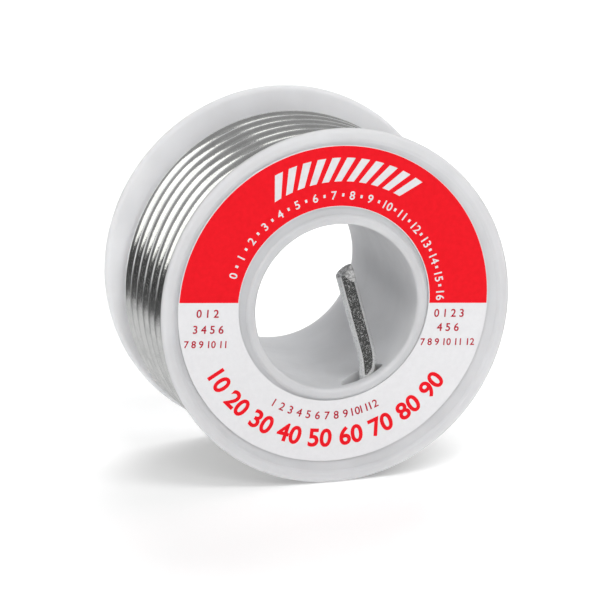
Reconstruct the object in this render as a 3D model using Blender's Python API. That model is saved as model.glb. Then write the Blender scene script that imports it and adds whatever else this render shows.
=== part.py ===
"""Solder wire spool: a moulded plastic spool, the ring label in its front flange and its wire.

The spool stands on the rims of its two flanges. Its axis is Y, and the labelled flange faces -Y.
The origin is the middle of the spool's axis. Angles go round the axis from +X towards +Z.
The wire starts in the bore, comes out through the hole beside the front flange and is wound in
layers. The layers under the outer one are a plain core, and the outer layer is one long tube.
"""
import math

import bmesh
import bpy
from mathutils import Vector

MM = 0.001

# Spool: one moulding of two flanges and a hollow hub
FLANGE_RADIUS = 31.75 * MM
FLANGE_THICKNESS = 1.9 * MM
OVERALL_WIDTH = 36.9 * MM
BORE_RADIUS = 14.8 * MM
HUB_WALL = 2.2 * MM
RIM_ROUND = 0.9 * MM
RIM_LAND = 0.75 * MM
SEAT_DEPTH = 0.5 * MM
SEAT_SLOPE = 0.6 * MM
LIP_LAND = 0.65 * MM
LIP_SLOPE = 0.2 * MM
MOUTH_ROUND = 0.8 * MM
HUB_FILLET = 0.5 * MM

# Half-round hole in the hub wall, flat side along the front flange
WIRE_HOLE_RADIUS = 4.05 * MM
WIRE_HOLE_ANGLE = math.radians(-68.0)
WIRE_HOLE_SETBACK = 0.15 * MM

# Ring label, stuck a little off centre
LABEL_THICKNESS = 0.15 * MM
LABEL_SHIFT = 0.86 * MM
LABEL_SHIFT_ANGLE = math.radians(131.0)
LABEL_EDGE_GAP = 0.3 * MM

# Wire and winding
WIRE_DIAMETER = 3.175 * MM
TURN_GAP = 0.555 * MM
LAYERS = 4
CROSSOVER_RISE = 2.9 * MM
CROSSOVER_ANGLE = math.radians(245.0)
CROSSOVER_HALF_WIDTH = math.radians(100.0)
CLIMB_ANGLE = math.radians(280.0)
CLIMB_ARC = math.radians(34.0)

# Start end of the wire, bent up into the bore and cut off with side cutters
TAIL_OFFSET_ANGLE = math.radians(5.75)
TAIL_LEAN_IN_HOLE = math.radians(26.5)
TAIL_LEAN_IN_BORE = math.radians(12.4)
TAIL_BEND_RADIUS = 18.0 * MM
TAIL_SHORT_OF_FAR_WALL = 8.7 * MM
# Each cutter facet: its depth below the end on the centre line, its slope across and its slope back
CUTTER_FACETS = ((1.0 * MM, 0.39, 0.0), (-1.5 * MM, -1.44, 2.3))

# Clearances between pieces that touch
SEAT_CLEARANCE = 0.3 * MM
TURN_SIDE_CLEARANCE = 0.35 * MM

# Facets
SPOOL_SEGMENTS = 64
RIM_STEPS = 3
MOUTH_STEPS = 2
FILLET_STEPS = 2
HOLE_STEPS = 12
TURN_POINTS = 24
CLIMB_STEPS = 5
CLIMB_SIDES = 6
TAIL_SIDES = 12
TAIL_BEND_STEPS = 4
TAIL_STRAIGHT_STEPS = 3

# Sizes that follow from the ones above
HALF_WIDTH = OVERALL_WIDTH / 2
INNER_HALF = HALF_WIDTH - FLANGE_THICKNESS
HUB_RADIUS = BORE_RADIUS + HUB_WALL
RIM_RADIUS = min(RIM_ROUND, FLANGE_THICKNESS / 2)
LIP_RADIUS = BORE_RADIUS + MOUTH_ROUND + LIP_LAND
SEAT_INNER = LIP_RADIUS + LIP_SLOPE
RAISED_BAND_RADIUS = FLANGE_RADIUS - RIM_RADIUS - RIM_LAND
SEAT_OUTER = RAISED_BAND_RADIUS - SEAT_SLOPE
WIRE_RADIUS = WIRE_DIAMETER / 2
PITCH = WIRE_DIAMETER + TURN_GAP
LAYER_STEP = math.sqrt(WIRE_DIAMETER ** 2 - (PITCH / 2) ** 2)
CORE_INNER = HUB_RADIUS + SEAT_CLEARANCE
OUTER_TURN_RADIUS = CORE_INNER + WIRE_RADIUS + (LAYERS - 1) * LAYER_STEP
CHORD_SAG = (OUTER_TURN_RADIUS + CROSSOVER_RISE) * (1 - math.cos(math.pi / TURN_POINTS))
CORE_OUTER = OUTER_TURN_RADIUS - WIRE_RADIUS - CHORD_SAG - SEAT_CLEARANCE
CORE_HALF = INNER_HALF - SEAT_CLEARANCE
LAST_TURN_Y = INNER_HALF - TURN_SIDE_CLEARANCE - WIRE_RADIUS
FIRST_TURN_Y = -LAST_TURN_Y


def clear_scene():
    for item in list(bpy.data.objects):
        bpy.data.objects.remove(item, do_unlink=True)


def make_material(name, color, roughness, metallic=0.0):
    material = bpy.data.materials.new(name)
    material.use_nodes = True
    shader = material.node_tree.nodes["Principled BSDF"]
    shader.inputs["Base Color"].default_value = (*color, 1.0)
    shader.inputs["Roughness"].default_value = roughness
    shader.inputs["Metallic"].default_value = metallic
    return material


def add_object(name, data, material=None):
    item = bpy.data.objects.new(name, data)
    bpy.context.scene.collection.objects.link(item)
    if material:
        data.materials.append(material)
    return item


def mesh_from(bm, name):
    bmesh.ops.recalc_face_normals(bm, faces=bm.faces[:])
    mesh = bpy.data.meshes.new(name)
    bm.to_mesh(mesh)
    bm.free()
    mesh.shade_smooth()
    mesh.set_sharp_from_angle(angle=math.radians(35.0))
    return mesh


def arc(center, radius, start_deg, end_deg, steps):
    """Points (r, y) on an arc of a turned profile; 0 degrees points outward, 90 towards +Y."""
    points = []
    for step in range(steps + 1):
        angle = math.radians(start_deg + (end_deg - start_deg) * step / steps)
        points.append((center[0] + radius * math.cos(angle), center[1] + radius * math.sin(angle)))
    return points


def turned(profile, segments=SPOOL_SEGMENTS):
    """Spin a closed (r, y) profile round Y, with a flat facet at the bottom of the ring."""
    bm = bmesh.new()
    start = math.pi / segments
    ring = [bm.verts.new((r * math.cos(start), y, r * math.sin(start))) for r, y in profile]
    edges = [bm.edges.new((ring[i - 1], ring[i])) for i in range(len(ring))]
    bmesh.ops.spin(bm, geom=ring + edges, cent=(0, 0, 0), axis=(0, -1, 0), dvec=(0, 0, 0),
                   angle=2 * math.pi, steps=segments, use_merge=True)
    bmesh.ops.remove_doubles(bm, verts=bm.verts[:], dist=1e-6)
    return bm


def apply_boolean(target, cutter, operation):
    """Cut or join for good, then delete the tool object."""
    modifier = target.modifiers.new(operation.title(), "BOOLEAN")
    modifier.operation = operation
    modifier.solver = "EXACT"
    modifier.object = cutter
    graph = bpy.context.evaluated_depsgraph_get()
    result = bpy.data.meshes.new_from_object(target.evaluated_get(graph))
    target.modifiers.remove(modifier)
    target.data = result
    bpy.data.objects.remove(cutter, do_unlink=True)


def flange_profile():
    """Rear half of the spool's section, from the bore round the flange to the hub's outside."""
    points = arc((BORE_RADIUS + MOUTH_ROUND, HALF_WIDTH - MOUTH_ROUND), MOUTH_ROUND, 180, 90,
                 MOUTH_STEPS)
    points.append((LIP_RADIUS, HALF_WIDTH))
    points.append((SEAT_INNER, HALF_WIDTH - SEAT_DEPTH))
    points.append((SEAT_OUTER, HALF_WIDTH - SEAT_DEPTH))
    points.append((RAISED_BAND_RADIUS, HALF_WIDTH))
    rim = FLANGE_RADIUS - RIM_RADIUS
    points += arc((rim, HALF_WIDTH - RIM_RADIUS), RIM_RADIUS, 90, 0, RIM_STEPS)
    points += arc((rim, INNER_HALF + RIM_RADIUS), RIM_RADIUS, 0, -90, RIM_STEPS)
    points += arc((HUB_RADIUS + HUB_FILLET, INNER_HALF - HUB_FILLET), HUB_FILLET, 90, 180,
                  FILLET_STEPS)
    return points


def without_repeats(points):
    """Drop a point that falls on the one before it."""
    kept = [points[0]]
    for point in points[1:]:
        if math.dist(point, kept[-1]) > 1e-5:
            kept.append(point)
    return kept


def wire_hole_cutter():
    """Half-round prism through the hub wall, its flat side along the front flange."""
    outward = Vector((math.cos(WIRE_HOLE_ANGLE), 0, math.sin(WIRE_HOLE_ANGLE)))
    along = Vector((-math.sin(WIRE_HOLE_ANGLE), 0, math.cos(WIRE_HOLE_ANGLE)))
    flat_y = -INNER_HALF + WIRE_HOLE_SETBACK
    bm = bmesh.new()
    ring = []
    for step in range(HOLE_STEPS + 1):
        angle = math.pi * step / HOLE_STEPS
        point = along * (WIRE_HOLE_RADIUS * math.cos(angle))
        point.y = flat_y + WIRE_HOLE_RADIUS * math.sin(angle)
        ring.append(bm.verts.new(point + outward * (BORE_RADIUS - HUB_WALL)))
    face = bm.faces.new(ring)
    extruded = bmesh.ops.extrude_face_region(bm, geom=[face])
    moved = [item for item in extruded["geom"] if isinstance(item, bmesh.types.BMVert)]
    bmesh.ops.translate(bm, verts=moved, vec=outward * (3 * HUB_WALL))
    return add_object("wire_hole_cutter", mesh_from(bm, "wire_hole_cutter"))


def make_spool(material):
    rear = flange_profile()
    front = [(r, -y) for r, y in reversed(rear)]
    spool = add_object("spool", mesh_from(turned(without_repeats(rear + front)), "spool"))
    apply_boolean(spool, wire_hole_cutter(), "DIFFERENCE")
    spool.data.materials.clear()
    spool.data.materials.append(material)
    return spool


def make_label(material):
    """Paper ring in the front flange's seat, shifted off centre by hand."""
    inner = SEAT_INNER + LABEL_SHIFT + LABEL_EDGE_GAP
    outer = SEAT_OUTER - LABEL_SHIFT - LABEL_EDGE_GAP
    back = -HALF_WIDTH + SEAT_DEPTH - SEAT_CLEARANCE
    front = back - LABEL_THICKNESS
    bm = turned([(inner, back), (outer, back), (outer, front), (inner, front)])
    label = add_object("front_label", mesh_from(bm, "front_label"), material)
    label.location.x = LABEL_SHIFT * math.cos(LABEL_SHIFT_ANGLE)
    label.location.z = LABEL_SHIFT * math.sin(LABEL_SHIFT_ANGLE)
    return label


def crossover_rise(angle):
    """How far the winding bulges where each layer's turns cross the turns beneath."""
    offset = (angle - CROSSOVER_ANGLE + math.pi) % (2 * math.pi) - math.pi
    if abs(offset) > CROSSOVER_HALF_WIDTH:
        return 0.0
    return CROSSOVER_RISE * (0.5 + 0.5 * math.cos(math.pi * offset / CROSSOVER_HALF_WIDTH))


def round_axis(angle, radius, y):
    return Vector((radius * math.cos(angle), y, radius * math.sin(angle)))


def turn_point(angle):
    """Point on the outer layer's helix, which reaches the rear flange at CLIMB_ANGLE."""
    y = LAST_TURN_Y - PITCH * (CLIMB_ANGLE - angle) / (2 * math.pi)
    return round_axis(angle, OUTER_TURN_RADIUS + crossover_rise(angle), y)


def along_flange(run):
    """Direction of a run without its lean towards a flange."""
    return Vector((run.x, 0, run.z)).normalized()


def outer_layer_points():
    """The helix from the climb at the rear flange to the free end at the front one."""
    turns = (LAST_TURN_Y - FIRST_TURN_Y) / PITCH
    count = round(turns * TURN_POINTS)
    step = turns * 2 * math.pi / count
    points = [turn_point(CLIMB_ANGLE - step * index) for index in range(count + 1)]
    points.insert(0, points[0] + along_flange(points[0] - points[1]) * WIRE_DIAMETER)
    points.append(points[-1] + along_flange(points[-1] - points[-2]) * WIRE_DIAMETER)
    return points


def least_gap(points):
    """Least space between the tube's turns, measured from each point to the runs of the next turn."""
    least = math.inf
    for index, point in enumerate(points):
        for other in range(index + TURN_POINTS // 2, len(points) - 1):
            start, run = points[other], points[other + 1] - points[other]
            share = min(1.0, max(0.0, (point - start).dot(run) / run.length_squared))
            least = min(least, (point - start - run * share).length)
    return least - WIRE_DIAMETER


def make_outer_layer(material):
    points = outer_layer_points()
    print("least gap between turns of the outer layer, mm:", round(least_gap(points) / MM, 3))
    curve = bpy.data.curves.new("wire_outer_layer", "CURVE")
    curve.dimensions = "3D"
    curve.bevel_depth = WIRE_RADIUS
    curve.bevel_resolution = 1
    curve.use_fill_caps = True
    spline = curve.splines.new("POLY")
    spline.points.add(len(points) - 1)
    for spot, point in zip(spline.points, points):
        spot.co = (*point, 1.0)
    return add_object("wire_outer_layer", curve, material)


def swept_tube(points, sides):
    """Closed length of wire along a route that stays in one plane square to Y."""
    bm = bmesh.new()
    back = Vector((0, 1, 0))
    rings = []
    for index, point in enumerate(points):
        before = points[max(index - 1, 0)]
        after = points[min(index + 1, len(points) - 1)]
        side = back.cross(after - before).normalized()
        ring = []
        for corner in range(sides):
            angle = 2 * math.pi * corner / sides
            offset = side * (WIRE_RADIUS * math.cos(angle)) + back * (WIRE_RADIUS * math.sin(angle))
            ring.append(bm.verts.new(point + offset))
        rings.append(ring)
    for lower, upper in zip(rings, rings[1:]):
        for corner in range(sides):
            following = (corner + 1) % sides
            bm.faces.new((lower[corner], lower[following], upper[following], upper[corner]))
    bm.faces.new(rings[0])
    bm.faces.new(rings[-1])
    bmesh.ops.recalc_face_normals(bm, faces=bm.faces[:])
    return bm


def climb_points():
    """The wire's rise from the layer beneath, ending square to the outer layer's rear end."""
    layer_end, next_point = outer_layer_points()[:2]
    run = along_flange(layer_end - next_point)
    start = layer_end + run * SEAT_CLEARANCE
    points = [start, start + run * WIRE_RADIUS]
    first_angle = math.atan2(points[-1].z, points[-1].x)
    first_radius = math.hypot(points[-1].x, points[-1].z)
    sunk = CORE_OUTER + crossover_rise(first_angle + CLIMB_ARC) - WIRE_DIAMETER
    for step in range(1, CLIMB_STEPS + 1):
        share = step / CLIMB_STEPS
        radius = first_radius + (sunk - first_radius) * share ** 2
        points.append(round_axis(first_angle + CLIMB_ARC * share, radius, LAST_TURN_Y))
    return points


def make_inner_layers(material):
    """Plain core with the shape of the layers under the outer one, and the rise of their wire."""
    chamfer = HUB_FILLET
    profile = [(CORE_INNER, CORE_HALF - chamfer), (CORE_INNER + chamfer, CORE_HALF),
               (CORE_OUTER, CORE_HALF), (CORE_OUTER, -CORE_HALF),
               (CORE_INNER + chamfer, -CORE_HALF), (CORE_INNER, chamfer - CORE_HALF)]
    bm = turned(profile)
    middle = (CORE_INNER + chamfer + CORE_OUTER) / 2
    for vert in bm.verts:
        radius = math.hypot(vert.co.x, vert.co.z)
        if radius > middle:
            angle = math.atan2(vert.co.z, vert.co.x)
            vert.co = round_axis(angle, radius + crossover_rise(angle), vert.co.y)
    core = add_object("wire_inner_layers", mesh_from(bm, "wire_inner_layers"))
    climb = mesh_from(swept_tube(climb_points(), CLIMB_SIDES), "layer_climb")
    apply_boolean(core, add_object("layer_climb", climb), "UNION")
    core.data.materials.clear()
    core.data.materials.append(material)
    return core


def tail_route():
    """Centre line of the wire's start end, in the plane of the first turn, and its directions."""
    angle = WIRE_HOLE_ANGLE + TAIL_OFFSET_ANGLE
    mouth = round_axis(angle, BORE_RADIUS, FIRST_TURN_Y)
    inward = angle + math.pi
    heading = inward - TAIL_LEAN_IN_HOLE
    turn = TAIL_LEAN_IN_HOLE - TAIL_LEAN_IN_BORE
    points = [mouth - round_axis(heading, 2 * HUB_WALL, 0), mouth]
    step_length = TAIL_BEND_RADIUS * turn / TAIL_BEND_STEPS
    for step in range(TAIL_BEND_STEPS):
        middle = heading + turn * (step + 0.5) / TAIL_BEND_STEPS
        points.append(points[-1] + round_axis(middle, step_length, 0))
    upward = round_axis(heading + turn, 1.0, 0)
    start = points[-1]
    across = start - Vector((0, start.y, 0))
    reach = -across.dot(upward) + math.sqrt(across.dot(upward) ** 2 - across.length_squared
                                            + BORE_RADIUS ** 2)
    length = reach - TAIL_SHORT_OF_FAR_WALL
    for step in range(1, TAIL_STRAIGHT_STEPS + 1):
        points.append(start + upward * (length * step / TAIL_STRAIGHT_STEPS))
    return points, upward


def cut_off(bm, point, normal):
    """Remove what lies beyond a plane and close the cut."""
    bmesh.ops.bisect_plane(bm, geom=bm.verts[:] + bm.edges[:] + bm.faces[:], dist=1e-7,
                           plane_co=point, plane_no=normal, clear_outer=True)
    bmesh.ops.holes_fill(bm, edges=[edge for edge in bm.edges if edge.is_boundary])


def make_tail(material):
    """The wire's start end: through the hole, up across the bore, with the cutters' wedge tip."""
    points, upward = tail_route()
    bm = swept_tube(points, TAIL_SIDES)
    outer_end = round_axis(WIRE_HOLE_ANGLE, HUB_RADIUS, FIRST_TURN_Y)
    cut_off(bm, outer_end, round_axis(WIRE_HOLE_ANGLE, 1.0, 0))
    back = Vector((0, 1, 0))
    side = back.cross(upward)
    for drop, slope_across, slope_back in CUTTER_FACETS:
        cut_off(bm, points[-1] - upward * drop, upward - side * slope_across - back * slope_back)
    return add_object("wire_start_end", mesh_from(bm, "wire_start_end"), material)


def main():
    clear_scene()
    plastic = make_material("natural_plastic", (0.80, 0.80, 0.82), 0.38)
    paper = make_material("label_paper", (0.86, 0.06, 0.07), 0.45)
    solder = make_material("bright_solder", (0.72, 0.72, 0.70), 0.22, 1.0)
    make_spool(plastic)
    make_label(paper)
    make_inner_layers(solder)
    make_outer_layer(solder)
    make_tail(solder)


main()
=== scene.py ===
"""Looks of the solder wire spool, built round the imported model.

Lengths are in metres. The spool's axis is Y and its labelled flange faces -Y. Angles go round
the axis from +X towards +Z.
"""
import math
import random
from collections import namedtuple

import bmesh
import bpy
from mathutils import Matrix, Vector

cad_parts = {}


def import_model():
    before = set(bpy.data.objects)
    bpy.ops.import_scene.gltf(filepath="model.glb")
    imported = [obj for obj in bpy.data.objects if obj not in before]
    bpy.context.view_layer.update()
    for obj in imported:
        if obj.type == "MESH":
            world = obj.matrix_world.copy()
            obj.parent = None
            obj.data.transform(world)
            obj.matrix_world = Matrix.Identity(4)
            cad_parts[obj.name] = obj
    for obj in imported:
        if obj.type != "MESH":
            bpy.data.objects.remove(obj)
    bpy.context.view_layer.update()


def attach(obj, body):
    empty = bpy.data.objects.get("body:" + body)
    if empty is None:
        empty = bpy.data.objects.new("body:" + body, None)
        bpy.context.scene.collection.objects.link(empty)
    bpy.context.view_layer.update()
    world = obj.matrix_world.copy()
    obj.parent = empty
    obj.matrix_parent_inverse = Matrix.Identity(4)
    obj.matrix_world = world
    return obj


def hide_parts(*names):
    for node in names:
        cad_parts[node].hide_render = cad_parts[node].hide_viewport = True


MM = 0.001
TAU = 2 * math.pi

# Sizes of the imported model
FLANGE_RADIUS = 31.75 * MM
FLANGE_THICKNESS = 1.9 * MM
HALF_WIDTH = 18.45 * MM
INNER_HALF = HALF_WIDTH - FLANGE_THICKNESS
BORE_RADIUS = 14.8 * MM
HUB_WALL = 2.2 * MM
HUB_RADIUS = BORE_RADIUS + HUB_WALL
RIM_ROUND = 0.9 * MM
SEAT_OUTER = 29.5 * MM
RAISED_BAND_RADIUS = 30.1 * MM
MOUTH_ROUND = 0.8 * MM
HUB_FILLET = 0.5 * MM
SEAT_CLEARANCE = 0.3 * MM
WIRE_HOLE_RADIUS = 4.05 * MM
WIRE_HOLE_ANGLE = math.radians(-68.0)
WIRE_HOLE_SETBACK = 0.15 * MM
WIRE_DIAMETER = 3.175 * MM
WIRE_RADIUS = WIRE_DIAMETER / 2
TURN_GAP = 0.555 * MM
PITCH = WIRE_DIAMETER + TURN_GAP
LAYERS = 4
LAYER_STEP = math.sqrt(WIRE_DIAMETER ** 2 - (PITCH / 2) ** 2)
OUTER_TURN_RADIUS = HUB_RADIUS + SEAT_CLEARANCE + WIRE_RADIUS + (LAYERS - 1) * LAYER_STEP
CROSSOVER_RISE = 2.9 * MM
CROSSOVER_ANGLE = math.radians(245.0)
CROSSOVER_HALF_WIDTH = math.radians(100.0)
CLIMB_ANGLE = math.radians(280.0)
CLIMB_ARC = math.radians(34.0)
TURN_SIDE_CLEARANCE = 0.35 * MM
LAST_TURN_Y = INNER_HALF - TURN_SIDE_CLEARANCE - WIRE_RADIUS
FIRST_TURN_Y = -LAST_TURN_Y
TURNS = (LAST_TURN_Y - FIRST_TURN_Y) / PITCH
TAIL_OFFSET_ANGLE = math.radians(5.75)
TAIL_LEAN_IN_HOLE = math.radians(26.5)
TAIL_LEAN_IN_BORE = math.radians(12.4)
TAIL_BEND_RADIUS = 18.0 * MM
TAIL_SHORT_OF_FAR_WALL = 8.7 * MM
# Each cutter facet: its depth below the end on the centre line, its slope across and its slope back
CUTTER_FACETS = ((1.0 * MM, 0.39, 0.0), (-1.5 * MM, -1.44, 2.3))

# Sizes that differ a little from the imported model's, to match the photograph
SEAT_DEPTH = 0.3 * MM
LIP_RADIUS = 16.2 * MM
SEAT_INNER = 16.6 * MM
WOUND_THICKNESS = 1.035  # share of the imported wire's
TAIL_RADIUS = WIRE_RADIUS * 1.05
TAIL_SHIFT = Vector((0.1 * MM, 0, 0))

# Fine form
EDGE_ROUND = 0.3 * MM
CORE_SHOULDER = 1.2 * MM
CORE_SINK = 0.35 * WIRE_RADIUS
CORE_HUB_GAP = 0.02 * MM
LAYER_GAP = 0.02 * MM
HIDDEN_TURNS = 0.35  # left out at the covered start of the third layer
UNEVENNESS = 0.006  # of the wound wire's thickness
KNOT_SPACING = 9  # points of the wire's route from one change of thickness to the next
THICKNESS_SEED = 4

# Label
LABEL_CENTER = Vector((-0.57 * MM, 0.0, 0.65 * MM))
LABEL_TURN = math.radians(-4.7)
LABEL_INNER = 17.4 * MM
LABEL_OUTER = 28.3 * MM
LABEL_GAP = 0.01 * MM
LABEL_BACK = -HALF_WIDTH + SEAT_DEPTH - LABEL_GAP
LABEL_PAPER = 0.2 * MM
LABEL_FRONT = LABEL_BACK - LABEL_PAPER
INK = 0.012 * MM
RED_FRONT = LABEL_FRONT - INK
RED_MARGIN = 0.13 * MM
SPLIT_ABOVE_CENTER = 0.2 * MM

# Print on the label, its angles in degrees round the label's centre
BAR_COUNT = 11
BAR_FIRST, BAR_STEP, BAR_HALF, BAR_SLANT = 120, -5.9, 1.7, 2.6
BAR_INNER, BAR_OUTER = 21.9 * MM, 26.1 * MM
DOT_START, DOT_END = -5.6, -4.4
DOT_INNER, DOT_OUTER = 19.2 * MM, 19.75 * MM
# Numbers along an arc: how many, radius of their feet, first angle and the step to the next,
# height of the digits, and how far each outline is thickened
NumberArc = namedtuple("NumberArc", "count foot_radius first step height bold")
WHITE_ARC = NumberArc(17, 18.75 * MM, 165, -10, 1.45 * MM, 0.03 * MM)
RED_ARC = NumberArc(9, 25.6 * MM, -146, 13.6, 3.1 * MM, 0.13 * MM)
FINE_ARC = NumberArc(12, 20.75 * MM, -118.5, 4.9, 1.4 * MM, 0.03 * MM)
# Straight rows: across, up and height of the digits in millimetres, and the digits
STRAIGHT_ROWS = (
    (-22.9, -2.4, 1.4, "0 1 2"),
    (-22.6, -5.25, 1.4, "3 4 5 6"),
    (-22.8, -7.8, 1.22, "7 8 9 10 11"),
    (21.4, -2.3, 1.4, "0 1 2 3"),
    (21.4, -4.85, 1.4, "4 5 6"),
    (21.5, -7.4, 1.2, "7 8 9 10 11 12"),
)
STRAIGHT_BOLD = 0.035 * MM
DIGIT_SHARE = 0.7  # height of a digit in a line of text one unit high

# Camera, as fitted to the photograph, with its angles in degrees
CAMERA_POSITION = Vector((-0.285494, -0.879651, 0.246004))
CAMERA_AZIMUTH = -17.929
CAMERA_ELEVATION = 15.091
FOCAL_PIXELS = 5412.187
IMAGE_PIXELS = 600
SENSOR_MM = 36.0
CLIP_NEAR, CLIP_FAR = 0.05, 20.0

# Softboxes: azimuth and elevation in degrees, distance, width, height, radiance, and whether
# they only light the spool or only show in its gloss
SOFTBOXES = {
    "softbox_left": (-63, 31, 1.0, 1.2, 0.95, 0.6, "light"),
    "softbox_left_glow": (-64, 31, 1.01, 1.22, 0.95, 0.99, "gloss"),
    "softbox_right_glow": (40, 38, 1.01, 0.5, 0.6, 0.9, "gloss"),
    "front_mid": (-5, 35, 1.3, 0.6, 0.4, 4.4, "light"),
    "key_high": (12, 60, 1.1, 0.45, 0.35, 7.3, "light"),
    "key_glow": (12, 60, 1.11, 0.45, 0.35, 0.8, "gloss"),
    "rear_right_low": (158, 22, 1.2, 0.5, 0.5, 4.6, "light"),
    "rear_right_mid": (150, 42, 1.2, 0.6, 0.6, 5.2, "light"),
}
GLOSS_TINT = (1.0, 1.0, 0.955)

# The room's brightness from straight down (0) to straight up (1): at the sides, in front, where
# the dark floor before the table shows, and behind, where the white backdrop stands
ROOM_STOPS = ((0.0, 0.62), (0.24, 0.60), (0.305, 0.60), (0.335, 0.42), (0.36, 0.10), (0.44, 0.05),
              (0.51, 0.05), (0.56, 0.14), (0.63, 0.26), (0.78, 0.34), (0.88, 0.27), (1.0, 0.25))
REAR_STOPS = ((0.0, 0.62), (0.30, 0.50), (0.345, 0.30), (0.36, 0.08), (0.415, 0.08), (0.44, 0.60),
              (0.50, 0.75), (0.57, 0.65), (0.63, 0.38), (1.0, 0.28))
FRONT_STOPS = ((0.0, 0.60), (0.10, 0.55), (0.17, 0.07), (0.53, 0.07), (0.58, 0.22), (1.0, 0.32))
FRONT_AZIMUTH = 20.0
# How squarely a direction points to the front or the rear where that part of the room fades in
FRONT_EDGE = (0.01, 0.12)
REAR_EDGE = (0.6, 0.8)
ROOM_LIGHT = 0.95
BACKDROP = (0.97, 0.97, 0.97, 1.0)
FLOOR_Z = -FLANGE_RADIUS
FLOOR_RADIUS = 3.0
FLOOR_GLOW = 0.26

# Fineness of the meshes
SPOOL_SEGMENTS = 288
CORE_SEGMENTS = 144
ROUNDING_STEPS = 5
WALL_STEPS = 14
HOLE_STEPS = 32
WIRE_SIDES = 28
TURN_POINTS = 144
CLIMB_STEPS = 16
END_STEPS = 6
TAIL_SIDES = 48
TAIL_HOLE_STEPS = 8
TAIL_BEND_STEPS = 24
TAIL_RISE_STEPS = 60
BLOCK_STEP_DEG = 1.5
NUMBER_CURVE_STEPS = 5
FLOOR_SEGMENTS = 96
SHARP_ANGLE = math.radians(35.0)
WIRE_SHARP_ANGLE = math.radians(50.0)
CUT_TOLERANCE = 1e-8
MERGE_DISTANCE = 0.0005 * MM
LONGEST_ROUNDING = 0.49  # share of an outline's straight run that one rounding may take


# ---------------------------------------------------------------- mesh helpers

def add_piece(name, bm, material, sharp_angle=SHARP_ANGLE):
    bmesh.ops.recalc_face_normals(bm, faces=bm.faces[:])
    mesh = bpy.data.meshes.new(name)
    bm.to_mesh(mesh)
    bm.free()
    mesh.shade_smooth()
    mesh.set_sharp_from_angle(angle=sharp_angle)
    mesh.materials.append(material)
    piece = bpy.data.objects.new(name, mesh)
    bpy.context.scene.collection.objects.link(piece)
    return piece


def round_axis(angle, radius, y):
    return Vector((radius * math.cos(angle), y, radius * math.sin(angle)))


def rounded_outline(corners):
    """Closed (r, y) outline from corners (r, y, rounding radius)."""
    points = []
    for index, (r, y, rounding) in enumerate(corners):
        here = Vector((r, y))
        before = Vector(corners[index - 1][:2]) - here
        after = Vector(corners[(index + 1) % len(corners)][:2]) - here
        if rounding <= 0:
            points.append(here)
            continue
        half = before.angle(after) / 2
        reach = min(rounding / math.tan(half), LONGEST_ROUNDING * before.length,
                    LONGEST_ROUNDING * after.length)
        radius = reach * math.tan(half)
        middle = (before.normalized() + after.normalized()).normalized()
        center = here + middle * (radius / math.sin(half))
        first = here + before.normalized() * reach - center
        last = here + after.normalized() * reach - center
        sweep = first.angle_signed(last)
        for step in range(ROUNDING_STEPS + 1):
            turn = Matrix.Rotation(-sweep * step / ROUNDING_STEPS, 2)
            points.append(center + turn @ first)
    return points


def turned(profile, segments=SPOOL_SEGMENTS):
    """Closed ring from a closed (r, y) outline spun round Y."""
    bm = bmesh.new()
    rings = []
    for segment in range(segments):
        angle = TAU * segment / segments
        rings.append([bm.verts.new(round_axis(angle, r, y)) for r, y in profile])
    for ring, following in zip(rings, rings[1:] + rings[:1]):
        for index in range(len(profile)):
            bm.faces.new((ring[index - 1], ring[index], following[index], following[index - 1]))
    return bm


def tube(points, uppers, radii, sides):
    """Closed tube round a route. The UV map holds millimetres along and round the wire."""
    bm = bmesh.new()
    uv = bm.loops.layers.uv.new("wire")
    rings, lengths = [], []
    travelled = 0.0
    for index, point in enumerate(points):
        before = points[max(index - 1, 0)]
        after = points[min(index + 1, len(points) - 1)]
        along = (after - before).normalized()
        side = along.cross(uppers[index]).normalized()
        upper = side.cross(along)
        travelled += (point - before).length
        lengths.append(travelled)
        ring = []
        for corner in range(sides):
            angle = TAU * corner / sides
            offset = (upper * math.cos(angle) + side * math.sin(angle)) * radii[index]
            ring.append(bm.verts.new(point + offset))
        rings.append(ring)
    for index in range(len(rings) - 1):
        lower, higher = rings[index], rings[index + 1]
        for corner in range(sides):
            following = (corner + 1) % sides
            face = bm.faces.new((lower[corner], lower[following],
                                 higher[following], higher[corner]))
            around = (corner, corner + 1, corner + 1, corner)
            lengthwise = (index, index, index + 1, index + 1)
            for loop, place, turn in zip(face.loops, lengthwise, around):
                loop[uv].uv = (lengths[place] / MM, turn * TAU * WIRE_RADIUS / MM / sides)
    bm.faces.new(rings[0])
    bm.faces.new(rings[-1])
    return bm


def cut_off(bm, point, normal):
    """Remove what lies beyond a plane and close the cut. Returns the new faces."""
    bmesh.ops.bisect_plane(bm, geom=bm.verts[:] + bm.edges[:] + bm.faces[:], dist=CUT_TOLERANCE,
                           plane_co=point, plane_no=normal, clear_outer=True)
    filled = bmesh.ops.holes_fill(bm, edges=[edge for edge in bm.edges if edge.is_boundary])
    return filled["faces"]


# ---------------------------------------------------------------- node helpers

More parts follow.
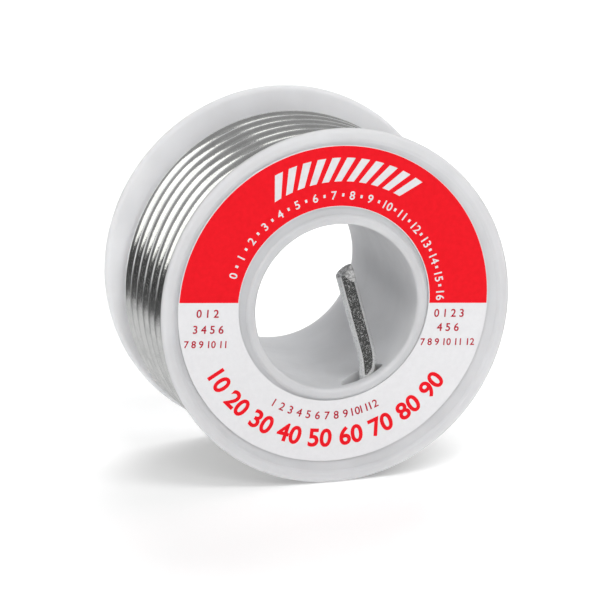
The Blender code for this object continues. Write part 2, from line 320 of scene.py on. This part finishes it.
class Nodes:
    """Short ways to build a node tree."""

    def __init__(self, tree):
        self.tree = tree

    def add(self, kind, **settings):
        node = self.tree.nodes.new(kind)
        for key, value in settings.items():
            setattr(node, key, value)
        return node

    def link(self, output, target):
        self.tree.links.new(output, target)

    def split(self, vector):
        node = self.add("ShaderNodeSeparateXYZ")
        self.link(vector, node.inputs["Vector"])
        return [node.outputs[axis] for axis in "XYZ"]

    def ramp(self, factor, stops):
        node = self.add("ShaderNodeValToRGB")
        self.link(factor, node.inputs["Fac"])
        elements = node.color_ramp.elements
        while len(elements) < len(stops):
            elements.new(0.5)
        for element, (position, color) in zip(elements, stops):
            element.position = position
            element.color = (*color, 1.0)
        return node.outputs["Color"]

    def spread(self, factor, low=0.0, high=1.0, start=0.3, end=0.7):
        """Value that goes from low to high while the factor goes from start to end."""
        node = self.add("ShaderNodeMapRange")
        self.link(factor, node.inputs["Value"])
        for name, value in (("From Min", start), ("From Max", end), ("To Min", low),
                            ("To Max", high)):
            node.inputs[name].default_value = value
        return node.outputs["Result"]

    def mixed(self, share, first, second):
        node = self.add("ShaderNodeMix", data_type="RGBA")
        self.link(share, node.inputs["Factor"])
        self.link(first, node.inputs["A"])
        self.link(second, node.inputs["B"])
        return node.outputs["Result"]


class Shader(Nodes):
    """A node material round one Principled shader."""

    def __init__(self, name):
        self.material = bpy.data.materials.new(name)
        self.material.use_nodes = True
        super().__init__(self.material.node_tree)
        self.bsdf = self.tree.nodes["Principled BSDF"]
        self.place = self.add("ShaderNodeTexCoord").outputs["Object"]

    def fixed(self, **values):
        for key, value in values.items():
            self.bsdf.inputs[key.replace("_", " ")].default_value = value

    def stretched(self, vector, scale):
        node = self.add("ShaderNodeMapping")
        self.link(vector, node.inputs["Vector"])
        node.inputs["Scale"].default_value = scale
        return node.outputs["Vector"]

    def noise(self, scale, detail=2.0, roughness=0.5, vector=None):
        node = self.add("ShaderNodeTexNoise")
        self.link(vector or self.place, node.inputs["Vector"])
        node.inputs["Scale"].default_value = scale
        node.inputs["Detail"].default_value = detail
        node.inputs["Roughness"].default_value = roughness
        return node.outputs["Fac"]

    def compute(self, operation, *operands):
        node = self.add("ShaderNodeMath", operation=operation)
        for socket, value in zip(node.inputs, operands):
            if isinstance(value, (int, float)):
                socket.default_value = value
            else:
                self.link(value, socket)
        return node.outputs["Value"]

    def product(self, *factors):
        result = factors[0]
        for factor in factors[1:]:
            result = self.compute("MULTIPLY", result, factor)
        return result

    def dimmed(self, color, share):
        node = self.add("ShaderNodeMix", data_type="RGBA", blend_type="MULTIPLY")
        node.inputs["Factor"].default_value = 1.0
        self.link(color, node.inputs["A"])
        self.link(share, node.inputs["B"])
        return node.outputs["Result"]

    def bump(self, height, distance, strength, after=None):
        node = self.add("ShaderNodeBump")
        self.link(height, node.inputs["Height"])
        node.inputs["Distance"].default_value = distance
        node.inputs["Strength"].default_value = strength
        if after:
            self.link(after, node.inputs["Normal"])
        return node.outputs["Normal"]

    def surface(self, color, roughness=None, normal=None):
        for name, output in (("Base Color", color), ("Roughness", roughness),
                             ("Normal", normal)):
            if output:
                self.link(output, self.bsdf.inputs[name])
        return self.material


# ---------------------------------------------------------------- materials

def plastic_material():
    """Natural milky polymer: cloudy, a little translucent, with a soft moulded sheen. Light and
    shade
    are painted in: lighter towards the rear flange, darker on the rear outer face and in the bore,
    and painted shade in the inner corner of the front rim."""
    shader = Shader("natural_plastic")
    shader.fixed(IOR=1.5, Subsurface_Weight=1.0, Subsurface_Scale=2.5 * MM,
                 Subsurface_Radius=(1.0, 0.97, 0.94))
    clouds = shader.noise(scale=130.0, detail=3.0)
    color = shader.ramp(clouds, ((0.3, (0.75, 0.755, 0.77)), (0.72, (0.81, 0.815, 0.83))))
    x, y, z = shader.split(shader.place)
    radius = shader.compute(
        "SQRT", shader.compute("ADD", shader.product(x, x), shader.product(z, z)))
    # Painted shade in the inner corner of the front rim, next to the windings.
    painted_rim_shade = shader.product(
        shader.spread(y, low=0.0, high=0.35, start=-17.9 * MM, end=-17.3 * MM),
        shader.spread(y, low=1.0, high=0.0, start=-INNER_HALF, end=-INNER_HALF + MM),
        shader.spread(radius, start=30.8 * MM, end=31.3 * MM))
    # Painted light: the plastic is painted lighter towards the rear flange, as if lit through from
    # behind.
    rear_painted_light = shader.spread(y, low=0.87, start=9.0 * MM, end=INNER_HALF)
    # Painted light towards the rear, less the painted shade in the rim corner.
    painted_light_and_shade = shader.compute("SUBTRACT", rear_painted_light, painted_rim_shade)
    # Painted shade: the lip, hub wall and bore are painted a little darker.
    bore_shade = shader.spread(radius, low=0.95, start=SEAT_INNER, end=SEAT_INNER + MM)
    # Painted shade: the rear flange's outer face is painted darker.
    rear_face_painted_shade = shader.spread(y, low=1.0, high=0.9, start=INNER_HALF + RIM_ROUND,
                              end=HALF_WIDTH - 0.4 * MM)
    color = shader.dimmed(color, shader.product(painted_light_and_shade, bore_shade, rear_face_painted_shade))
    gloss = shader.spread(shader.noise(scale=420.0, detail=4.0), low=0.30, high=0.42)
    ripples = shader.bump(shader.noise(scale=240.0), 0.05 * MM, strength=0.25)
    grain = shader.bump(shader.noise(scale=2600.0), 0.01 * MM, strength=0.2, after=ripples)
    return shader.surface(color, gloss, grain)


def paper_material():
    """Coated white paper."""
    shader = Shader("label_paper")
    shader.fixed(IOR=1.45, Specular_IOR_Level=0.35)
    fibres = shader.noise(scale=1500.0, detail=5.0, roughness=0.6)
    color = shader.ramp(fibres, ((0.3, (0.80, 0.80, 0.815)), (0.7, (0.835, 0.835, 0.85))))
    gloss = shader.spread(shader.noise(scale=300.0, detail=3.0), low=0.42, high=0.52)
    return shader.surface(color, gloss, shader.bump(fibres, 0.01 * MM, strength=0.3))


def ink_material(name, color, darker):
    """Printed ink: even, with the faint mottle of the paper under it."""
    shader = Shader(name)
    shader.fixed(IOR=1.45, Specular_IOR_Level=0.15)
    mottle = shader.noise(scale=1100.0, detail=4.0, roughness=0.6)
    tint = shader.ramp(mottle, ((0.3, darker), (0.65, color)))
    gloss = shader.spread(shader.noise(scale=300.0, detail=3.0), low=0.36, high=0.46)
    return shader.surface(tint, gloss, shader.bump(mottle, 0.01 * MM, strength=0.2))


def solder_base(shader, tone, dull):
    """Make the shader a metal and return its colour: patches of a duller tone in a brighter one."""
    shader.fixed(Metallic=1.0)
    patches = shader.noise(scale=260.0, detail=4.0, roughness=0.6)
    return shader.ramp(patches, ((0.32, dull), (0.6, tone)))


def covered_material():
    """The dull wire under the outer layer, its colour painted dark for the shade it lies in."""
    shader = Shader("core_solder_painted_shade")
    # Painted shade: a dark tone stands in for the shade under the outer layers.
    color = solder_base(shader, tone=(0.30, 0.30, 0.30), dull=(0.22, 0.22, 0.22))
    grain = shader.noise(scale=3000.0, detail=3.0)
    gloss = shader.spread(grain, low=0.35, high=0.5)
    return shader.surface(color, gloss, shader.bump(grain, 0.02 * MM, strength=0.4))


def cut_material(name, tone, metallic):
    """Solder where the cutter sheared it: matt, with a coarse torn grain."""
    shader = Shader(name)
    dull = 0.7 * tone
    color = solder_base(shader, (tone, tone, tone), (dull, dull, dull))
    shader.fixed(Metallic=metallic)
    grain = shader.noise(scale=2000.0, detail=4.0, roughness=0.7)
    pits = shader.spread(grain, low=0.45, high=1.0, start=0.42, end=0.56)
    gloss = shader.spread(grain, low=0.38, high=0.6)
    return shader.surface(shader.dimmed(color, pits), gloss,
                          shader.bump(grain, 0.12 * MM, strength=0.8))


def tarnish(shader, wire, covered_length):
    """Share of colour left by painted shade in the grooves between turns and on the covered first
    stretch.
    """
    along, around, _ = shader.split(wire)
    facing = shader.compute("COSINE", shader.compute("DIVIDE", around, WIRE_RADIUS / MM))
    covered_mm, fade_mm = covered_length / MM, 8.0
    covered_painted_shade = shader.spread(along, low=0.3, start=covered_mm, end=covered_mm + fade_mm)
    groove_painted_shade = shader.spread(facing, low=0.04, start=0.18, end=0.56)
    return shader.product(covered_painted_shade, groove_painted_shade)


def solder_material(name, specks, covered_length=0.0):
    """Bright drawn tin wire: draw lines along it, small dents and fine oxide specks, and painted
    shade down in the grooves between turns and on the first stretch, which lies under the last
    layer."""
    shader = Shader(name)
    wire = shader.add("ShaderNodeUVMap", uv_map="wire").outputs["UV"]
    lines = shader.noise(scale=1.0, detail=3.0, roughness=0.6,
                         vector=shader.stretched(wire, (0.12, 9.0, 1.0)))
    grain = shader.noise(scale=3600.0, detail=3.0, roughness=0.7)
    dents = shader.noise(scale=420.0)
    color = solder_base(shader, tone=(0.93, 0.935, 0.925), dull=(0.80, 0.805, 0.80))
    if covered_length:
        # Painted shade in the grooves and on the covered first stretch.
        color = shader.dimmed(color, tarnish(shader, wire, covered_length))
    oxide = shader.noise(scale=3000.0, detail=3.0, roughness=0.65)
    metal = shader.spread(oxide, low=1.0, high=1.0 - specks, start=0.5, end=0.66)
    shader.link(metal, shader.bsdf.inputs["Metallic"])
    gloss = shader.spread(grain, low=0.05, high=0.13)
    normal = shader.bump(lines, 0.02 * MM, strength=0.25)
    normal = shader.bump(dents, 0.06 * MM, strength=0.3, after=normal)
    normal = shader.bump(grain, 0.015 * MM, strength=0.5, after=normal)
    return shader.surface(color, gloss, normal)


# ---------------------------------------------------------------- spool

def spool_outline():
    """Closed (r, y) outline of the moulding: flanges with lip, seat and rim, hub and bore."""
    rear = [
        (BORE_RADIUS, HALF_WIDTH, MOUTH_ROUND),
        (LIP_RADIUS, HALF_WIDTH, EDGE_ROUND),
        (SEAT_INNER, HALF_WIDTH - SEAT_DEPTH, EDGE_ROUND),
        (SEAT_OUTER, HALF_WIDTH - SEAT_DEPTH, EDGE_ROUND),
        (RAISED_BAND_RADIUS, HALF_WIDTH, EDGE_ROUND),
        (FLANGE_RADIUS, HALF_WIDTH, RIM_ROUND),
        (FLANGE_RADIUS, INNER_HALF, RIM_ROUND),
        (HUB_RADIUS, INNER_HALF, HUB_FILLET),
    ]
    front = [(r, -y, rounding) for r, y, rounding in reversed(rear)]
    wall_half = HALF_WIDTH - 2 * MOUTH_ROUND
    wall = [wall_half - step * 2 * wall_half / WALL_STEPS for step in range(WALL_STEPS + 1)]
    hub = [(HUB_RADIUS, y, 0) for y in wall if abs(y) < INNER_HALF - 2 * HUB_FILLET]
    bore = [(BORE_RADIUS, -y, 0) for y in wall]
    return rounded_outline(rear + hub + front + bore)


def wire_hole_cutter():
    """Half-round prism through the hub wall, its flat side along the front flange."""
    outward = round_axis(WIRE_HOLE_ANGLE, 1.0, 0)
    along = round_axis(WIRE_HOLE_ANGLE + math.pi / 2, 1.0, 0)
    flat_y = -INNER_HALF + WIRE_HOLE_SETBACK
    bm = bmesh.new()
    ring = []
    for step in range(HOLE_STEPS + 1):
        angle = math.pi * step / HOLE_STEPS
        point = along * (WIRE_HOLE_RADIUS * math.cos(angle))
        point.y = flat_y + WIRE_HOLE_RADIUS * math.sin(angle)
        ring.append(bm.verts.new(point + outward * (BORE_RADIUS - HUB_WALL)))
    face = bm.faces.new(ring)
    extruded = bmesh.ops.extrude_face_region(bm, geom=[face])
    moved = [item for item in extruded["geom"] if isinstance(item, bmesh.types.BMVert)]
    bmesh.ops.translate(bm, verts=moved, vec=outward * (3 * HUB_WALL))
    return bm


def make_spool():
    plastic = plastic_material()
    spool = add_piece("spool_moulding", turned(spool_outline()), plastic)
    cutter = add_piece("wire_hole_cutter", wire_hole_cutter(), plastic)
    modifier = spool.modifiers.new("Hole", "BOOLEAN")
    modifier.operation = "DIFFERENCE"
    modifier.solver = "EXACT"
    modifier.object = cutter
    graph = bpy.context.evaluated_depsgraph_get()
    spool.data = bpy.data.meshes.new_from_object(spool.evaluated_get(graph))
    spool.modifiers.clear()
    bpy.data.objects.remove(cutter, do_unlink=True)
    spool.data.materials.clear()
    spool.data.materials.append(plastic)
    spool.data.set_sharp_from_angle(angle=SHARP_ANGLE)
    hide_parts("spool")
    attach(spool, "root")


# ---------------------------------------------------------------- wire

def crossover_rise(angle):
    """How far the hump where the turns cross over lifts the wire."""
    offset = (angle - CROSSOVER_ANGLE + math.pi) % TAU - math.pi
    if abs(offset) > CROSSOVER_HALF_WIDTH:
        return 0.0
    return CROSSOVER_RISE * (0.5 + 0.5 * math.cos(math.pi * offset / CROSSOVER_HALF_WIDTH))


def outer_turn_y(angle):
    return LAST_TURN_Y - PITCH * (CLIMB_ANGLE - angle) / TAU


def outer_turn(angle):
    return round_axis(angle, OUTER_TURN_RADIUS + crossover_rise(angle), outer_turn_y(angle))


def lower_turn(angle):
    """Point of the third layer, which is wound towards the rear and rests under the outer one."""
    y = LAST_TURN_Y - PITCH * (angle - CLIMB_ANGLE - CLIMB_ARC) / TAU
    beside = ((y - outer_turn_y(angle)) / PITCH) % 1.0
    beside = min(beside, 1 - beside) * PITCH
    depth = math.sqrt(WIRE_DIAMETER ** 2 - beside ** 2) + LAYER_GAP
    return round_axis(angle, OUTER_TURN_RADIUS + crossover_rise(angle) - depth, y)


def square_to_axis(vector):
    return Vector((vector.x, 0, vector.z)).normalized()


def outer_points():
    """The outer layer from the rear flange to its end, which runs straight beside the front one."""
    count = round(TURNS * TURN_POINTS)
    step = TURNS * TAU / count
    points = [outer_turn(CLIMB_ANGLE - step * index) for index in range(count + 1)]
    run = square_to_axis(points[-1] - points[-2])
    points += [points[-1] + run * (WIRE_DIAMETER * share / END_STEPS)
               for share in range(1, END_STEPS + 1)]
    return points


def climb_points():
    """Rise of the wire from the end of the third layer to the start of the outer one."""
    low = lower_turn(CLIMB_ANGLE + CLIMB_ARC)
    low_radius = math.hypot(low.x, low.z)
    high_radius = OUTER_TURN_RADIUS + crossover_rise(CLIMB_ANGLE)
    points = []
    for step in range(CLIMB_STEPS):
        share = step / CLIMB_STEPS
        smooth = share * share * (3 - 2 * share)
        angle = CLIMB_ANGLE + CLIMB_ARC * (1 - share)
        points.append(round_axis(angle, low_radius + (high_radius - low_radius) * smooth,
                                 LAST_TURN_Y))
    return points


def lower_points():
    """The third layer, which shows only between the outer turns."""
    count = round((TURNS - HIDDEN_TURNS) * TURN_POINTS)
    step = TAU / TURN_POINTS
    last = CLIMB_ANGLE + CLIMB_ARC
    return [lower_turn(last + step * index) for index in range(count, 0, -1)]


def worn_radii(count):
    """The wound wire's radius at each point, with the faint unevenness of handling."""
    random.seed(THICKNESS_SEED)
    knots = [random.uniform(-1, 1) for _ in range(count // KNOT_SPACING + 3)]
    radii = []
    for index in range(count):
        knot, share = divmod(index / KNOT_SPACING, 1)
        blend = knots[int(knot)] * (1 - share) + knots[int(knot) + 1] * share
        radii.append(WIRE_RADIUS * (WOUND_THICKNESS + UNEVENNESS * blend))
    return radii


def make_windings():
    """The outer layer and the third one under it, as one wire."""
    covered = lower_points()
    covered_length = sum((after - before).length for before, after in zip(covered, covered[1:]))
    solder = solder_material("bright_solder", specks=0.12, covered_length=covered_length)
    points = covered + climb_points() + outer_points()
    outward = [square_to_axis(point) for point in points]
    bm = tube(points, outward, worn_radii(len(points)), WIRE_SIDES)
    windings = add_piece("wire_wound", bm, solder, WIRE_SHARP_ANGLE)
    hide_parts("wire_outer_layer")
    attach(windings, "root")


def make_core():
    """The layers under the third one, as a ring with the hump of the crossover."""
    half = INNER_HALF - SEAT_CLEARANCE
    inner = HUB_RADIUS + CORE_HUB_GAP
    outer = OUTER_TURN_RADIUS - WIRE_DIAMETER - CORE_SINK
    outline = rounded_outline([(inner, half, EDGE_ROUND), (outer, half, CORE_SHOULDER),
                               (outer, -half, CORE_SHOULDER), (inner, -half, EDGE_ROUND)])
    bm = turned(outline, CORE_SEGMENTS)
    for vert in bm.verts:
        radius = math.hypot(vert.co.x, vert.co.z)
        if radius > (inner + outer) / 2:
            angle = math.atan2(vert.co.z, vert.co.x)
            vert.co = round_axis(angle, radius + crossover_rise(angle), vert.co.y)
    core = add_piece("wire_core", bm, covered_material())
    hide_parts("wire_inner_layers")
    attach(core, "root")


def tail_route():
    """Centre line of the start end: out of the hole and up across the bore."""
    angle = WIRE_HOLE_ANGLE + TAIL_OFFSET_ANGLE
    mouth = round_axis(angle, BORE_RADIUS, FIRST_TURN_Y)
    heading = angle + math.pi - TAIL_LEAN_IN_HOLE
    turn = TAIL_LEAN_IN_HOLE - TAIL_LEAN_IN_BORE
    first = mouth - round_axis(heading, 2 * HUB_WALL, 0)
    points = [first.lerp(mouth, step / TAIL_HOLE_STEPS) for step in range(TAIL_HOLE_STEPS + 1)]
    bend_step = TAIL_BEND_RADIUS * turn / TAIL_BEND_STEPS
    for step in range(TAIL_BEND_STEPS):
        middle = heading + turn * (step + 0.5) / TAIL_BEND_STEPS
        points.append(points[-1] + round_axis(middle, bend_step, 0))
    upward = round_axis(heading + turn, 1.0, 0)
    start = points[-1]
    across = Vector((start.x, 0, start.z))
    reach = -across.dot(upward) + math.sqrt(across.dot(upward) ** 2 - across.length_squared
                                            + BORE_RADIUS ** 2)
    length = reach - TAIL_SHORT_OF_FAR_WALL
    points += [start + upward * (length * step / TAIL_RISE_STEPS)
               for step in range(1, TAIL_RISE_STEPS + 1)]
    return points, upward


def make_tail():
    """The wire's start end in the bore, with its two cutter facets in materials of their own."""
    points, upward = tail_route()
    points = [point + TAIL_SHIFT for point in points]
    back = Vector((0, 1, 0))
    bm = tube(points, [back] * len(points), [TAIL_RADIUS] * len(points), TAIL_SIDES)
    cut_off(bm, round_axis(WIRE_HOLE_ANGLE, HUB_RADIUS, FIRST_TURN_Y),
            round_axis(WIRE_HOLE_ANGLE, 1.0, 0))
    side = back.cross(upward)
    for index, (drop, slope_across, slope_back) in enumerate(CUTTER_FACETS):
        facet = cut_off(bm, points[-1] - upward * drop,
                        upward - side * slope_across - back * slope_back)
        for face in facet:
            face.material_index = index + 1
    tail = add_piece("wire_start", bm, solder_material("handled_solder", specks=0.3))
    tail.data.materials.append(cut_material("cut_solder", tone=0.85, metallic=1.0))
    tail.data.materials.append(cut_material("torn_solder", tone=0.78, metallic=0.4))
    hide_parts("wire_start_end")
    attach(tail, "root")


# ---------------------------------------------------------------- label

def on_label(radius, angle):
    """(x, z) of a point given in the label's own polar coordinates."""
    turned_angle = angle + LABEL_TURN
    return (LABEL_CENTER.x + radius * math.cos(turned_angle),
            LABEL_CENTER.z + radius * math.sin(turned_angle))


def label_ring(inner, outer, front, back):
    bm = turned([(inner, back), (outer, back), (outer, front), (inner, front)])
    bmesh.ops.translate(bm, verts=bm.verts[:], vec=LABEL_CENTER)
    return bm


def white_block(bm, inner, outer, start_deg, end_deg, slant_deg=0.0):
    """Part of a ring between two angles, printed on the red field."""
    steps = max(1, int(abs(end_deg - start_deg) / BLOCK_STEP_DEG))
    angles = [math.radians(start_deg + (end_deg - start_deg) * step / steps)
              for step in range(steps + 1)]
    lean = math.radians(slant_deg)
    outline = [on_label(outer, angle - lean) for angle in angles]
    outline += [on_label(inner, angle + lean) for angle in reversed(angles)]
    front = RED_FRONT - INK
    base = [bm.verts.new((x, front + INK, z)) for x, z in outline]
    top = [bm.verts.new((x, front, z)) for x, z in outline]
    bm.faces.new(base)
    bm.faces.new(top)
    for index in range(len(outline)):
        bm.faces.new((base[index - 1], base[index], top[index], top[index - 1]))


def add_number(bm, text, spot, turn, height, bold, base):
    """A plain number, its foot centred at a spot (across, up) of the label's own coordinates."""
    curve = bpy.data.curves.new("number", "FONT")
    curve.body = text
    curve.size = height / DIGIT_SHARE
    curve.bevel_depth = bold
    curve.bevel_resolution = 0
    curve.resolution_u = NUMBER_CURVE_STEPS
    curve.align_x = "CENTER"
    holder = bpy.data.objects.new("number", curve)
    bpy.context.scene.collection.objects.link(holder)
    graph = bpy.context.evaluated_depsgraph_get()
    mesh = bpy.data.meshes.new_from_object(holder.evaluated_get(graph))
    across, upward = spot
    x, z = on_label(math.hypot(across, upward), math.atan2(upward, across))
    flatten = Matrix.Diagonal((1, 1, INK / (2 * bold), 1))
    upright = Matrix.Rotation(math.pi / 2, 4, "X")
    turned_round = Matrix.Rotation(-(turn + LABEL_TURN), 4, "Y")
    mesh.transform(Matrix.Translation((x, base - INK / 2, z)) @ turned_round @ upright @ flatten)
    bm.from_mesh(mesh)
    bpy.data.objects.remove(holder, do_unlink=True)
    bpy.data.curves.remove(curve)
    bpy.data.meshes.remove(mesh)


def arc_number(bm, arc, index, text, base):
    """A number along the label's round: its top points outward above the centre, inward below."""
    angle = math.radians(arc.first + index * arc.step)
    spot = (arc.foot_radius * math.cos(angle), arc.foot_radius * math.sin(angle))
    turn = angle - math.pi / 2 if math.sin(angle) > 0 else angle + math.pi / 2
    add_number(bm, text, spot, turn, arc.height, arc.bold, base)


def finish_label_piece(name, bm, material):
    bmesh.ops.remove_doubles(bm, verts=bm.verts[:], dist=MERGE_DISTANCE)
    piece = add_piece(name, bm, material)
    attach(piece, "root")
    return piece


def make_label():
    paper = paper_material()
    red = ink_material("red_ink", color=(0.90, 0.006, 0.016), darker=(0.84, 0.004, 0.012))
    crimson = ink_material("crimson_ink", color=(0.50, 0.006, 0.03), darker=(0.44, 0.004, 0.025))
    white = ink_material("white_print", color=(0.80, 0.79, 0.81), darker=(0.74, 0.73, 0.75))

    bm = label_ring(LABEL_INNER, LABEL_OUTER, LABEL_FRONT, LABEL_BACK)
    ring = finish_label_piece("label_paper_ring", bm, paper)
    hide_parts("front_label")

    bm = label_ring(LABEL_INNER + RED_MARGIN, LABEL_OUTER - RED_MARGIN, RED_FRONT, LABEL_FRONT)
    upward = Vector((-math.sin(LABEL_TURN), 0, math.cos(LABEL_TURN)))
    cut_off(bm, LABEL_CENTER + upward * SPLIT_ABOVE_CENTER, -upward)
    finish_label_piece("label_red_field", bm, red)

    marks = bmesh.new()
    for index in range(BAR_COUNT):
        middle = BAR_FIRST + index * BAR_STEP
        white_block(marks, BAR_INNER, BAR_OUTER, middle - BAR_HALF, middle + BAR_HALF, BAR_SLANT)
    for index in range(WHITE_ARC.count):
        arc_number(marks, WHITE_ARC, index, str(index), RED_FRONT)
        if index < WHITE_ARC.count - 1:
            middle = WHITE_ARC.first + index * WHITE_ARC.step
            white_block(marks, DOT_INNER, DOT_OUTER, middle + DOT_START, middle + DOT_END)
    finish_label_piece("label_white_marks", marks, white)

    numbers = bmesh.new()
    for index in range(RED_ARC.count):
        arc_number(numbers, RED_ARC, index, str(10 * (index + 1)), LABEL_FRONT)
    finish_label_piece("label_red_numbers", numbers, red)

    small = bmesh.new()
    for index in range(FINE_ARC.count):
        arc_number(small, FINE_ARC, index, str(index + 1), LABEL_FRONT)
    for across, upward, height, text in STRAIGHT_ROWS:
        add_number(small, text, (across * MM, upward * MM), 0.0, height * MM, STRAIGHT_BOLD,
                   LABEL_FRONT)
    finish_label_piece("label_fine_print", small, crimson)


# ---------------------------------------------------------------- studio

def direction(azimuth_deg, elevation_deg):
    """From the spool towards a place round it. Azimuth 0 is the front and 90 the right."""
    azimuth, elevation = math.radians(azimuth_deg), math.radians(elevation_deg)
    return Vector((math.sin(azimuth) * math.cos(elevation),
                   -math.cos(azimuth) * math.cos(elevation), math.sin(elevation)))


def point_along(item, heading):
    item.rotation_mode = "QUATERNION"
    item.rotation_quaternion = heading.to_track_quat("-Z", "Y")


def add_softbox(name, azimuth_deg, elevation_deg, distance, width, height, radiance, role):
    light = bpy.data.lights.new(name, "AREA")
    light.shape = "RECTANGLE"
    light.size, light.size_y = width, height
    light.energy = radiance * math.pi * width * height
    if role == "gloss":
        light.color = GLOSS_TINT
    lamp = bpy.data.objects.new(name, light)
    lamp.location = direction(azimuth_deg, elevation_deg) * distance
    lamp.visible_glossy = role == "gloss"
    lamp.visible_diffuse = role == "light"
    lamp.visible_transmission = role == "light"
    bpy.context.scene.collection.objects.link(lamp)
    point_along(lamp, -lamp.location)


def room_color(nodes):
    """Brightness by direction, from the sides, front and rear parts of the room."""
    gaze = nodes.add("ShaderNodeTexCoord").outputs["Generated"]
    _, y, z = nodes.split(gaze)
    height = nodes.spread(z, start=-1.0, end=1.0)
    around, ahead, behind = (
        nodes.ramp(height, [(position, (value, value, value)) for position, value in stops])
        for stops in (ROOM_STOPS, FRONT_STOPS, REAR_STOPS))
    forward = nodes.add("ShaderNodeVectorMath", operation="DOT_PRODUCT")
    forward.inputs[1].default_value = direction(FRONT_AZIMUTH, 0.0)
    nodes.link(gaze, forward.inputs[0])
    front_share = nodes.spread(forward.outputs["Value"], start=FRONT_EDGE[0], end=FRONT_EDGE[1])
    rear_share = nodes.spread(y, start=REAR_EDGE[0], end=REAR_EDGE[1])
    return nodes.mixed(front_share, nodes.mixed(rear_share, around, behind), ahead)


def make_world():
    """The room for light and gloss, and a plain pale backdrop for the camera."""
    world = bpy.data.worlds.new("studio")
    bpy.context.scene.world = world
    world.use_nodes = True
    world.node_tree.nodes.clear()
    nodes = Nodes(world.node_tree)
    room = nodes.add("ShaderNodeBackground")
    nodes.link(room_color(nodes), room.inputs["Color"])
    room.inputs["Strength"].default_value = ROOM_LIGHT
    backdrop = nodes.add("ShaderNodeBackground")
    backdrop.inputs["Color"].default_value = BACKDROP
    path = nodes.add("ShaderNodeLightPath")
    choice = nodes.add("ShaderNodeMixShader")
    nodes.link(path.outputs["Is Camera Ray"], choice.inputs["Fac"])
    nodes.link(room.outputs[0], choice.inputs[1])
    nodes.link(backdrop.outputs[0], choice.inputs[2])
    output = nodes.add("ShaderNodeOutputWorld")
    nodes.link(choice.outputs[0], output.inputs["Surface"])


def make_floor():
    bm = bmesh.new()
    bmesh.ops.create_circle(bm, cap_ends=True, segments=FLOOR_SEGMENTS, radius=FLOOR_RADIUS)
    bmesh.ops.translate(bm, verts=bm.verts[:], vec=(0, 0, FLOOR_Z))
    shader = Shader("pale_floor")
    shader.fixed(Specular_IOR_Level=0.0, Roughness=0.9,
                 Emission_Color=(1.0, 1.0, 1.0, 1.0), Emission_Strength=FLOOR_GLOW)
    tint = shader.ramp(shader.noise(scale=6.0), ((0.3, (0.90, 0.90, 0.90)),
                                                 (0.7, (0.92, 0.92, 0.92))))
    floor = add_piece("studio_floor", bm, shader.surface(tint))
    floor.visible_glossy = False


def make_camera():
    data = bpy.data.cameras.new("camera")
    data.sensor_width = SENSOR_MM
    data.lens = FOCAL_PIXELS * SENSOR_MM / IMAGE_PIXELS
    data.clip_start, data.clip_end = CLIP_NEAR, CLIP_FAR
    camera = bpy.data.objects.new("camera", data)
    camera.location = CAMERA_POSITION
    point_along(camera, -direction(CAMERA_AZIMUTH, CAMERA_ELEVATION))
    bpy.context.scene.collection.objects.link(camera)
    bpy.context.scene.camera = camera


def make_studio():
    make_world()
    make_floor()
    make_camera()
    for name, values in SOFTBOXES.items():
        add_softbox(name, *values)
    bpy.context.scene.view_settings.view_transform = "Standard"


def main():
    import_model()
    make_spool()
    make_windings()
    make_core()
    make_tail()
    make_label()
    make_studio()


main()
